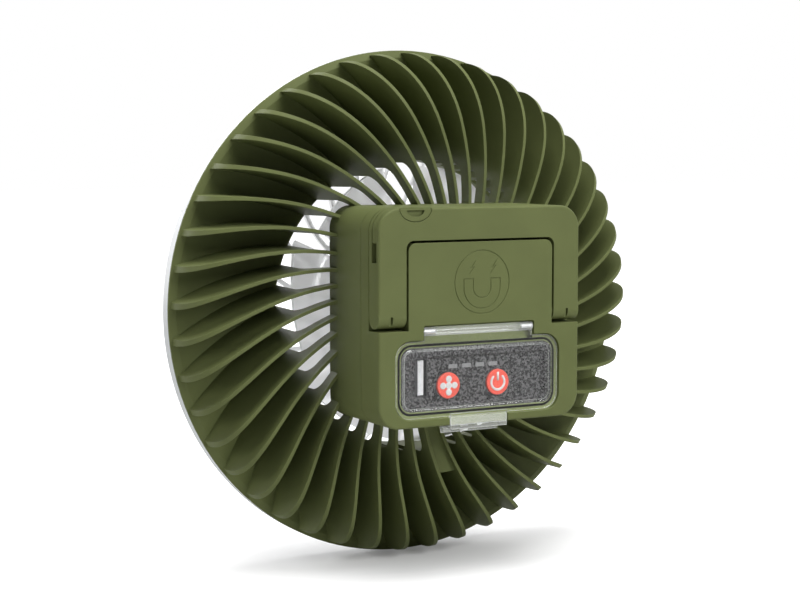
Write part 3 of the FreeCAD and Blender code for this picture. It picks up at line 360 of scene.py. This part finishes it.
@dataclass(frozen=True)
class ClearPlastic:
    """Clear plastic whitened along its edges and in bands over the hinge and the latch, all of it
    painted highlight.

    Shadow rays pass it, so that what lies behind stays lit.
    """

    name: str
    tint: Colour
    roughness: float = 0.04
    ior: float = 1.4
    specular: float = 0.3
    ripple_per_metre: float = 180.0
    ripple_height: float = 0.00003
    ripple_strength: float = 0.15
    # colour of the painted highlight on the edges, the hinge and the latch
    white: Colour = (0.8, 0.82, 0.8)
    edge_radius: float = 0.0004
    painted_edge_highlight: float = 0.4
    painted_band_highlight: float = 0.2
    highlight_band_fade: float = 0.0004
    hinge_from: float = 0.0933
    latch_below: float = 0.0632

    def make(self) -> bpy.types.Material:
        """Build the material.

        Returns:
            The finished material.
        """
        material, tree, shader = new_material(self.name)
        shader.inputs["Base Color"].default_value = (*self.tint, 1.0)
        shader.inputs["Roughness"].default_value = self.roughness
        shader.inputs["IOR"].default_value = self.ior
        shader.inputs["Specular IOR Level"].default_value = self.specular
        shader.inputs["Transmission Weight"].default_value = 1.0
        ripple = object_noise(tree, self.ripple_per_metre, 2.0)
        bump = tree.nodes.new("ShaderNodeBump")
        bump.inputs["Strength"].default_value = self.ripple_strength
        bump.inputs["Distance"].default_value = self.ripple_height
        tree.links.new(ripple.outputs["Fac"], bump.inputs["Height"])
        tree.links.new(bump.outputs["Normal"], shader.inputs["Normal"])
        place = tree.nodes.new("ShaderNodeTexCoord")
        parts = tree.nodes.new("ShaderNodeSeparateXYZ")
        tree.links.new(place.outputs["Object"], parts.inputs[0])
        height = parts.outputs["Z"]
        hinge_full = self.hinge_from + self.highlight_band_fade
        latch_full = self.latch_below - self.highlight_band_fade
        # White mixed in along the edges and in bands above the hinge height and below the latch height
        # is painted highlight.
        edge = ranged(tree, edge_share(tree, self.edge_radius), 0.0, 1.0, 0.0, self.painted_edge_highlight)
        hinge = ranged(tree, height, self.hinge_from, hinge_full, 0.0, self.painted_band_highlight)
        latch = ranged(tree, height, self.latch_below, latch_full, 0.0, self.painted_band_highlight)
        white = tree.nodes.new("ShaderNodeBsdfDiffuse")
        white.inputs["Color"].default_value = (*self.white, 1.0)
        body = mixed(tree, summed(tree, edge, hinge, latch), shader.outputs[0], white.outputs[0])
        through = tree.nodes.new("ShaderNodeBsdfTransparent")
        path = tree.nodes.new("ShaderNodeLightPath")
        show(tree, mixed(tree, path.outputs["Is Shadow Ray"], body, through.outputs[0]))
        return material


@dataclass(frozen=True)
class SpeckledPanel:
    """Dark panel skin with a fine light speckle."""

    name: str
    dark: Colour
    light: Colour
    speckle_per_metre: float = 1300.0
    dark_until: float = 0.42
    light_from: float = 0.62
    roughness: float = 0.5
    specular: float = 0.1

    def make(self) -> bpy.types.Material:
        """Build the material.

        Returns:
            The finished material.
        """
        material, tree, shader = new_material(self.name)
        speckle = object_noise(tree, self.speckle_per_metre, 1.0)
        colour = two_tone(tree, speckle.outputs["Fac"], self.dark, self.light,
                          self.dark_until, self.light_from)
        tree.links.new(colour, shader.inputs["Base Color"])
        shader.inputs["Roughness"].default_value = self.roughness
        shader.inputs["Specular IOR Level"].default_value = self.specular
        return material


@dataclass(frozen=True)
class ButtonWindowPlastic:
    """Coloured plastic of a button or a window; its glow, where it has one, is painted light."""

    name: str
    colour: Colour
    glow: float = 0.0
    roughness: float = 0.4
    cloud_per_metre: float = 900.0
    cloud_dark: float = 0.9
    cloud_light: float = 1.05

    def make(self) -> bpy.types.Material:
        """Build the material.

        Returns:
            The finished material.
        """
        material, tree, shader = new_material(self.name)
        cloud = object_noise(tree, self.cloud_per_metre, 2.0)
        colour = two_tone(tree, cloud.outputs["Fac"], scaled(self.colour, self.cloud_dark),
                          scaled(self.colour, self.cloud_light))
        tree.links.new(colour, shader.inputs["Base Color"])
        tree.links.new(colour, shader.inputs["Emission Color"])
        # The glow is painted light: no lamp stands behind the piece.
        shader.inputs["Emission Strength"].default_value = self.glow
        shader.inputs["Roughness"].default_value = self.roughness
        return material


@dataclass(frozen=True)
class TurnedMetal:
    """Metal with fine tool marks."""

    name: str
    colour: Colour
    roughness: float = 0.3
    marks_per_metre: float = 1200.0
    marks_dark: float = 0.85

    def make(self) -> bpy.types.Material:
        """Build the material.

        Returns:
            The finished material.
        """
        material, tree, shader = new_material(self.name)
        marks = object_noise(tree, self.marks_per_metre, 3.0)
        colour = two_tone(tree, marks.outputs["Fac"], scaled(self.colour, self.marks_dark), self.colour)
        tree.links.new(colour, shader.inputs["Base Color"])
        shader.inputs["Metallic"].default_value = 1.0
        shader.inputs["Roughness"].default_value = self.roughness
        return material


Finish = MouldedPlastic | MilkyPlastic | ClearPlastic | SpeckledPanel | ButtonWindowPlastic | TurnedMetal

FINISHES: dict[Slot, Finish] = {
    # The olive plastic's lighter edges are a painted highlight.
    Slot.OLIVE: MouldedPlastic("olive moulded plastic", (0.125, 0.145, 0.054), painted_edge_lightening=0.45),
    Slot.WHITE: MilkyPlastic("white blade plastic", (0.96, 0.965, 0.97), 0.85),
    Slot.MILKY: MilkyPlastic("milky diffuser plastic", (0.80, 0.82, 0.83), 0.15),
    Slot.CLEAR: ClearPlastic("clear cover plastic", (0.97, 0.98, 0.98)),
    Slot.PANEL: SpeckledPanel("speckled dark panel", (0.002, 0.002, 0.002), (0.085, 0.083, 0.084)),
    # The red buttons' glow is painted light.
    Slot.RED: ButtonWindowPlastic("red plastic with painted glow", (0.52, 0.05, 0.026), 0.06),
    Slot.WINDOWS: ButtonWindowPlastic("backlit white plastic", (0.42, 0.42, 0.42)),
    Slot.DIM: ButtonWindowPlastic("unlit window plastic", (0.15, 0.15, 0.15)),
    Slot.STEEL: TurnedMetal("plain steel", (0.62, 0.62, 0.64)),
    Slot.DARK_METAL: TurnedMetal("black plated steel", (0.05, 0.05, 0.05), 0.4),
    Slot.MAGNET: TurnedMetal("plated magnet", (0.5, 0.5, 0.52), 0.22),
    Slot.BOARD: MouldedPlastic("green circuit board", (0.02, 0.13, 0.05), 0.3, mottle=0.1),
    Slot.BLACK: MouldedPlastic("black plastic", (0.02, 0.02, 0.02), 0.5),
    Slot.WRAP: MouldedPlastic("battery wrap", (0.05, 0.15, 0.4), 0.3),
    Slot.COPPER: TurnedMetal("enamelled copper", (0.72, 0.32, 0.12), 0.35),
    Slot.BRONZE: TurnedMetal("sintered bronze", (0.55, 0.35, 0.14), 0.45),
    Slot.SEAL: MouldedPlastic("seal rubber", (0.02, 0.02, 0.02), 0.7),
}


@dataclass
class Palette:
    """Makes each finish once and hands it out."""

    made: dict[Slot, bpy.types.Material] = field(default_factory=dict)

    def get(self, slot: Slot) -> bpy.types.Material:
        """Material of a slot.

        Args:
            slot: the record's slot.

        Returns:
            The material, made at first use.
        """
        if slot not in self.made:
            self.made[slot] = FINISHES[slot].make()
        return self.made[slot]

    def dress(self, obj: bpy.types.Object, slot: Slot) -> None:
        """Give a piece its one material, the finish of its slot.

        Args:
            obj: the piece.
            slot: the record's slot.
        """
        obj.data.materials.clear()
        obj.data.materials.append(self.get(slot))


def grid_mesh(name: str, points: Grid, closed_u: bool = False, closed_v: bool = False,
              smooth: bool = True) -> bpy.types.Object:
    """Turn a grid of points, rows by columns by 3, into a mesh of quads.

    Args:
        name: name of the new object.
        points: the grid, in metres in the row frame.
        closed_u: whether the last row joins the first.
        closed_v: whether the last column joins the first.
        smooth: whether faces are shaded smooth.

    Returns:
        The new object.
    """
    rows, columns = points.shape[:2]
    row = np.arange(rows if closed_u else rows - 1)
    column = np.arange(columns if closed_v else columns - 1)
    a = row[:, None] * columns + column[None, :]
    b = row[:, None] * columns + (column[None, :] + 1) % columns
    c = ((row[:, None] + 1) % rows) * columns + (column[None, :] + 1) % columns
    d = ((row[:, None] + 1) % rows) * columns + column[None, :]
    faces = np.stack([a, b, c, d], -1).reshape(-1, 4)
    mesh = bpy.data.meshes.new(name)
    mesh.from_pydata(points.reshape(-1, 3).tolist(), [], faces.tolist())
    mesh.update()
    outward_normals(mesh)
    mesh.polygons.foreach_set("use_smooth", np.full(len(mesh.polygons), smooth))
    obj = bpy.data.objects.new(name, mesh)
    bpy.context.scene.collection.objects.link(obj)
    return obj


def outward_normals(mesh: bpy.types.Mesh) -> None:
    """Merge points that lie together, such as those of a pole, and turn every face outwards.

    Args:
        mesh: the mesh to tidy.
    """
    shell = bmesh.new()
    shell.from_mesh(mesh)
    bmesh.ops.remove_doubles(shell, verts=shell.verts, dist=SAME_PLACE)
    bmesh.ops.recalc_face_normals(shell, faces=shell.faces)
    shell.to_mesh(mesh)
    shell.free()


def seen_from_behind(x: Grid, y: Grid, depth: Grid) -> Grid:
    """Points given as seen from behind, in millimetres, brought to the row frame in metres.

    Args:
        x: to the right of a viewer who looks at the controls.
        y: up from the fan's axis.
        depth: towards the viewer from the back of the rim.

    Returns:
        The points, with a last axis of 3.
    """
    return np.stack([-x, depth - MID_DEPTH, y + RIM_RADIUS], -1) * MM


@dataclass
class RaisedMarks:
    """Thin raised marks on a push button: plain fan and power signs."""

    face: float
    height: float = 0.12
    sides: int = 40
    section_points: int = 10

    def section(self) -> Grid:
        """Angles round the section of a thin mark, as one row."""
        return np.linspace(0, 2 * np.pi, self.section_points, endpoint=False)[None, :]

    def pad(self, name: str, x: float, y: float, radius: float) -> bpy.types.Object:
        """Round pad with a low domed top, straight sides and a flat closed back.

        Args:
            name: name of the piece.
            x: middle, to the right.
            y: middle, up.
            radius: outer radius.

        Returns:
            The new piece.
        """
        share = np.array([0.0, 0.5, 0.85, 1.0, 1.0, 0.0])[:, None]
        lift = np.array([1.0, 0.95, 0.8, 0.5, -0.5, -0.5])[:, None]
        turn = np.linspace(0, 2 * np.pi, self.sides, endpoint=False)[None, :]
        px = x + radius * share * np.cos(turn)
        py = y + radius * share * np.sin(turn)
        depth = self.face + self.height * lift + 0 * turn
        return grid_mesh(name, seen_from_behind(px, py, depth), closed_v=True)

    def arc_band(self, name: str, x: float, y: float, radius: float, width: float,
                 start: float, end: float) -> bpy.types.Object:
        """Band of half-round section swept along an arc about a middle.

        Args:
            name: name of the piece.
            x: middle of the arc, to the right.
            y: middle of the arc, up.
            radius: radius of the band's middle line.
            width: width of the band.
            start: start angle in degrees.
            end: end angle in degrees.

        Returns:
            The new piece.
        """
        along = np.radians(np.linspace(start, end, self.sides))[:, None]
        taper = np.ones((self.sides, 1))
        taper[0] = taper[-1] = 0.0
        around = self.section()
        across = radius + taper * width / 2 * np.cos(around)
        px = x + across * np.cos(along)
        py = y + across * np.sin(along)
        depth = self.face + taper * self.height * np.sin(around)
        return grid_mesh(name, seen_from_behind(px, py, depth), closed_v=True)

    def bar(self, name: str, x: float, low: float, high: float, width: float) -> bpy.types.Object:
        """Upright bar of half-round section with closed ends.

        Args:
            name: name of the piece.
            x: middle of the bar, to the right.
            low: lower end.
            high: upper end.
            width: width of the bar.

        Returns:
            The new piece.
        """
        along = np.array([low, low, (low + high) / 2, high, high])[:, None]
        taper = np.array([0.0, 1.0, 1.0, 1.0, 0.0])[:, None]
        around = self.section()
        px = x + taper * width / 2 * np.cos(around)
        py = along + 0 * around
        depth = self.face + taper * self.height * np.sin(around)
        return grid_mesh(name, seen_from_behind(px, py, depth), closed_v=True)


@dataclass
class SubAssembly:
    """A group of CAD nodes that share a way of dressing."""

    palette: Palette

    def dress_nodes(self, slot: Slot, *names: str) -> None:
        """Dress CAD nodes with a slot's finish.

        Args:
            slot: the record's slot.
            names: the CAD nodes.
        """
        for name in names:
            self.palette.dress(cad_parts[name], slot)
            LOG.info("dressed %s", name)

    def add(self, piece: bpy.types.Object, slot: Slot, body: BodyName) -> bpy.types.Object:
        """Dress a new piece and let it ride on its body.

        Args:
            piece: the new piece.
            slot: the record's slot.
            body: the body that it moves with.

        Returns:
            The same piece.
        """
        self.palette.dress(piece, slot)
        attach(piece, body.value)
        LOG.info("added %s on %s", piece.name, body.value)
        return piece


@dataclass
class Housing(SubAssembly):
    """Green mouldings: the finned rear housing, the box cover, the handle and the hook."""

    def build(self) -> None:
        """Dress the mouldings and what joins them."""
        self.dress_nodes(Slot.OLIVE, "rear_housing", "rear_cover", "carry_handle", "hanging_hook",
                         "hook_cap")
        self.dress_nodes(Slot.STEEL, "handle_pins", "hook_pin", "body_screws")


@dataclass
class LightRing(SubAssembly):
    """Milky ring, its board, its lamps and their lead."""

    def build(self) -> None:
        """Dress the ring and what it hides."""
        self.dress_nodes(Slot.MILKY, "diffuser_ring")
        self.dress_nodes(Slot.BOARD, "led_board")
        self.dress_nodes(Slot.WINDOWS, "led_chips")
        self.dress_nodes(Slot.BLACK, "led_lead")


@dataclass
class Blower(SubAssembly):
    """Bladed wheel, front guard and motor."""

    cap_radius: float = 17.0
    cap_face: float = -7.5
    cap_rise: float = 0.9
    cap_sink: float = 0.05
    cap_rings: int = 12
    cap_sides: int = 96

    def build(self) -> None:
        """Dress the wheel and the motor and close the guard's middle with a low dome."""
        self.dress_nodes(Slot.WHITE, "impeller", "front_guard")
        self.dress_nodes(Slot.STEEL, "rotor_cup", "motor_shaft", "stator_core", "motor_screws")
        self.dress_nodes(Slot.MAGNET, "rotor_magnet")
        self.dress_nodes(Slot.COPPER, "stator_windings")
        self.dress_nodes(Slot.BRONZE, "motor_bearings")
        self.dress_nodes(Slot.BLACK, "motor_base")
        self.add(self.dome(), Slot.WHITE, BodyName.HOUSING)

    def dome(self) -> bpy.types.Object:
        """Low dome: its height falls with the fourth power of the distance from its middle.

        A last ring of no radius closes its flat back.

        Returns:
            The new piece.
        """
        ring = np.linspace(0, 1, self.cap_rings)
        share = np.append(ring, 0.0)[:, None]
        lift = np.append(1 - ring ** 4, 0.0)[:, None]
        turn = np.linspace(0, 2 * np.pi, self.cap_sides, endpoint=False)[None, :]
        px = self.cap_radius * share * np.cos(turn)
        py = self.cap_radius * share * np.sin(turn)
        depth = self.cap_face - self.cap_rise * lift + self.cap_sink + 0 * turn
        return grid_mesh("guard_dome", seen_from_behind(px, py, depth), closed_v=True)


@dataclass
class ControlPanel(SubAssembly):
    """Dark panel, push buttons with plain signs, light windows, port and clear cover."""

    button_face: float = 59.1
    fan_button_x: float = -13.1
    power_button_x: float = 8.1
    buttons_height: float = -25.5
    blade_reach: float = 2.45
    blade_radius: float = 1.25
    hub_radius: float = 1.3
    ring_radius: float = 2.85
    ring_start: float = 125.0
    ring_end: float = 415.0
    bar_low: float = 0.6
    bar_high: float = 3.8
    stroke: float = 0.95

    def build(self) -> None:
        """Dress the panel and put the signs on the buttons."""
        self.dress_nodes(Slot.PANEL, "control_panel")
        self.dress_nodes(Slot.RED, "fan_button", "power_button")
        self.dress_nodes(Slot.WINDOWS, "usb_port_tongue")
        self.dress_nodes(Slot.DIM, "battery_lights")
        self.dress_nodes(Slot.DARK_METAL, "usb_port_shell")
        self.dress_nodes(Slot.STEEL, "cover_hinge_pins", "board_screws")
        self.dress_nodes(Slot.CLEAR, "clear_cover")
        self.dress_nodes(Slot.SEAL, "cover_gasket")
        self.dress_nodes(Slot.BOARD, "circuit_board")
        self.dress_nodes(Slot.BLACK, "button_switches")
        self.fan_sign()
        self.power_sign()

    def fan_sign(self) -> None:
        """Four round blades about a small hub."""
        marks = RaisedMarks(self.button_face)
        for number in range(4):
            turn = math.radians(90 * number)
            x = self.fan_button_x + self.blade_reach * math.cos(turn)
            y = self.buttons_height + self.blade_reach * math.sin(turn)
            blade = marks.pad(f"fan_sign_blade_{number + 1}", x, y, self.blade_radius)
            self.add(blade, Slot.WINDOWS, BodyName.FAN_BUTTON)
        hub = marks.pad("fan_sign_hub", self.fan_button_x, self.buttons_height, self.hub_radius)
        self.add(hub, Slot.WINDOWS, BodyName.FAN_BUTTON)

    def power_sign(self) -> None:
        """Open ring with an upright bar."""
        marks = RaisedMarks(self.button_face)
        ring = marks.arc_band("power_sign_ring", self.power_button_x, self.buttons_height,
                              self.ring_radius, self.stroke, self.ring_start, self.ring_end)
        self.add(ring, Slot.WINDOWS, BodyName.POWER_BUTTON)
        bar = marks.bar("power_sign_bar", self.power_button_x, self.buttons_height + self.bar_low,
                        self.buttons_height + self.bar_high, self.stroke)
        self.add(bar, Slot.WINDOWS, BodyName.POWER_BUTTON)


@dataclass
class PowerPack(SubAssembly):
    """Cells, tray and magnets inside the box."""

    def build(self) -> None:
        """Dress what the box holds."""
        self.dress_nodes(Slot.WRAP, "battery_cells")
        self.dress_nodes(Slot.BLACK, "battery_tray")
        self.dress_nodes(Slot.MAGNET, "magnets")
        self.dress_nodes(Slot.STEEL, "magnet_plate")


@dataclass(frozen=True)
class SoftBox:
    """One square studio lamp."""

    name: str
    place: Place
    target: Place
    size: float
    power: float

    def hang(self) -> None:
        """Put the lamp in the scene, turned to its target."""
        data = bpy.data.lights.new(self.name, "AREA")
        data.size = self.size
        data.energy = self.power
        lamp = bpy.data.objects.new(self.name, data)
        aim = Vector(self.target) - Vector(self.place)
        lamp.rotation_euler = aim.to_track_quat("-Z", "Y").to_euler()
        lamp.location = self.place
        bpy.context.scene.collection.objects.link(lamp)


@dataclass
class Studio:
    """Floor, sky, lamps and camera."""

    floor_half: float = 6.0
    floor_drop: float = 0.0002
    floor_white: float = 0.6
    glow_near: float = 0.14
    glow_end: float = 0.092
    glow_squeeze: Place = (0.55, 1.0, 0.0)
    glow_middle: Place = (0.0, -0.02, 0.0)
    sky: float = 0.07
    lamps: tuple[SoftBox, ...] = (
        SoftBox("key_softbox", (-0.7, 1.8, 1.2), (0.0, 0.0, 0.1), 1.0, 34.0),
        SoftBox("top_softbox", (0.1, 0.2, 1.9), (0.0, 0.0, 0.1), 1.2, 32.0),
        SoftBox("side_softbox", (1.9, -0.5, 0.6), (0.0, 0.0, 0.1), 0.9, 8.0),
        SoftBox("front_softbox", (0.2, -1.6, 0.5), (0.0, 0.0, 0.1), 1.2, 20.0),
    )

    def build(self) -> None:
        """Set up the studio round the fan."""
        self.lay_floor()
        self.light_sky()
        for lamp in self.lamps:
            lamp.hang()
        bpy.context.scene.view_settings.view_transform = "Standard"

    def lay_floor(self) -> None:
        """Wide plain floor that the camera sees brighten to white away from the fan, round a dim oval
        sized to the fan's shadow, which is partly painted shade about the real cast shadow.

        The glow is for camera rays alone, so that it casts no light on the fan.
        """
        half = self.floor_half
        corner = np.array([-half, half])
        x, y = np.meshgrid(corner, corner, indexing="ij")
        points = np.stack([x, y, np.full_like(x, -self.floor_drop)], -1)
        floor = grid_mesh("studio_floor", points, smooth=False)
        material, tree, shader = new_material("studio floor")
        shader.inputs["Base Color"].default_value = (self.floor_white,) * 3 + (1.0,)
        shader.inputs["Roughness"].default_value = 1.0
        shader.inputs["Specular IOR Level"].default_value = 0.0
        glow = tree.nodes.new("ShaderNodeEmission")
        place = tree.nodes.new("ShaderNodeTexCoord")
        away, oval, reach = (tree.nodes.new("ShaderNodeVectorMath") for _ in range(3))
        away.operation = "SUBTRACT"
        away.inputs[1].default_value = self.glow_middle
        oval.operation = "MULTIPLY"
        oval.inputs[1].default_value = self.glow_squeeze
        reach.operation = "LENGTH"
        tree.links.new(place.outputs["Object"], away.inputs[0])
        tree.links.new(away.outputs["Vector"], oval.inputs[0])
        tree.links.new(oval.outputs["Vector"], reach.inputs[0])
        # The dim oval where the glow stays weak is sized to the fan's shadow: the shadow inside it is
        # cast by the lamps, the dimness round it is painted shade.
        rise = ranged(tree, reach.outputs["Value"], 0.0, self.glow_end, self.glow_near, 1.0)
        tree.links.new(rise, glow.inputs["Strength"])
        dark = tree.nodes.new("ShaderNodeEmission")
        dark.inputs["Strength"].default_value = 0.0
        path = tree.nodes.new("ShaderNodeLightPath")
        total = tree.nodes.new("ShaderNodeAddShader")
        tree.links.new(shader.outputs[0], total.inputs[0])
        tree.links.new(mixed(tree, path.outputs["Is Camera Ray"], dark.outputs[0], glow.outputs[0]),
                       total.inputs[1])
        show(tree, total.outputs[0])
        floor.data.materials.append(material)

    def light_sky(self) -> None:
        """Even sky, shown as plain white to the camera, in reflections and through clear pieces."""
        world = bpy.data.worlds.new("studio sky")
        bpy.context.scene.world = world
        world.use_nodes = True
        tree = world.node_tree
        tree.nodes.clear()
        output = tree.nodes.new("ShaderNodeOutputWorld")
        soft = tree.nodes.new("ShaderNodeBackground")
        soft.inputs["Strength"].default_value = self.sky
        white = tree.nodes.new("ShaderNodeBackground")
        white.inputs["Strength"].default_value = 1.0
        for shade in (soft, white):
            shade.inputs["Color"].default_value = (1.0, 1.0, 1.0, 1.0)
        path = tree.nodes.new("ShaderNodeLightPath")
        seen = summed(tree, path.outputs["Is Camera Ray"], path.outputs["Is Glossy Ray"],
                      path.outputs["Is Transmission Ray"])
        tree.links.new(mixed(tree, seen, soft.outputs[0], white.outputs[0]), output.inputs["Surface"])


@dataclass
class PhotoCamera:
    """Camera at the photograph's place, found by fitting the rim, the box and the fins."""

    place: Place = (0.32434, 0.57045, 0.16106)
    target: Place = (0.0, -0.0263, 0.1)
    focal_pixels: float = 1700.66
    frame_width: float = 800.0
    centre_right: float = 2.89
    centre_down: float = 2.37
    sensor_width: float = 36.0
    nearest: float = 0.01

    def build(self) -> None:
        """Make the camera and give it to the scene."""
        data = bpy.data.cameras.new("photo_camera")
        data.sensor_width = self.sensor_width
        data.lens = self.focal_pixels / self.frame_width * self.sensor_width
        data.shift_x = -self.centre_right / self.frame_width
        data.shift_y = self.centre_down / self.frame_width
        data.clip_start = self.nearest
        camera = bpy.data.objects.new("photo_camera", data)
        aim = Vector(self.target) - Vector(self.place)
        look = aim.to_track_quat("-Z", "Y").to_matrix().to_4x4()
        camera.matrix_world = Matrix.Translation(self.place) @ look
        bpy.context.scene.collection.objects.link(camera)
        bpy.context.scene.camera = camera


def main() -> None:
    """Build every sub-assembly in order, then the studio and the camera."""
    logging.basicConfig(level=logging.INFO, format="%(message)s")
    palette = Palette()
    for kind in (Housing, LightRing, Blower, ControlPanel, PowerPack):
        kind(palette).build()
        LOG.info("finished %s", kind.__name__)
    Studio().build()
    PhotoCamera().build()


if __name__ == "__main__":
    main()
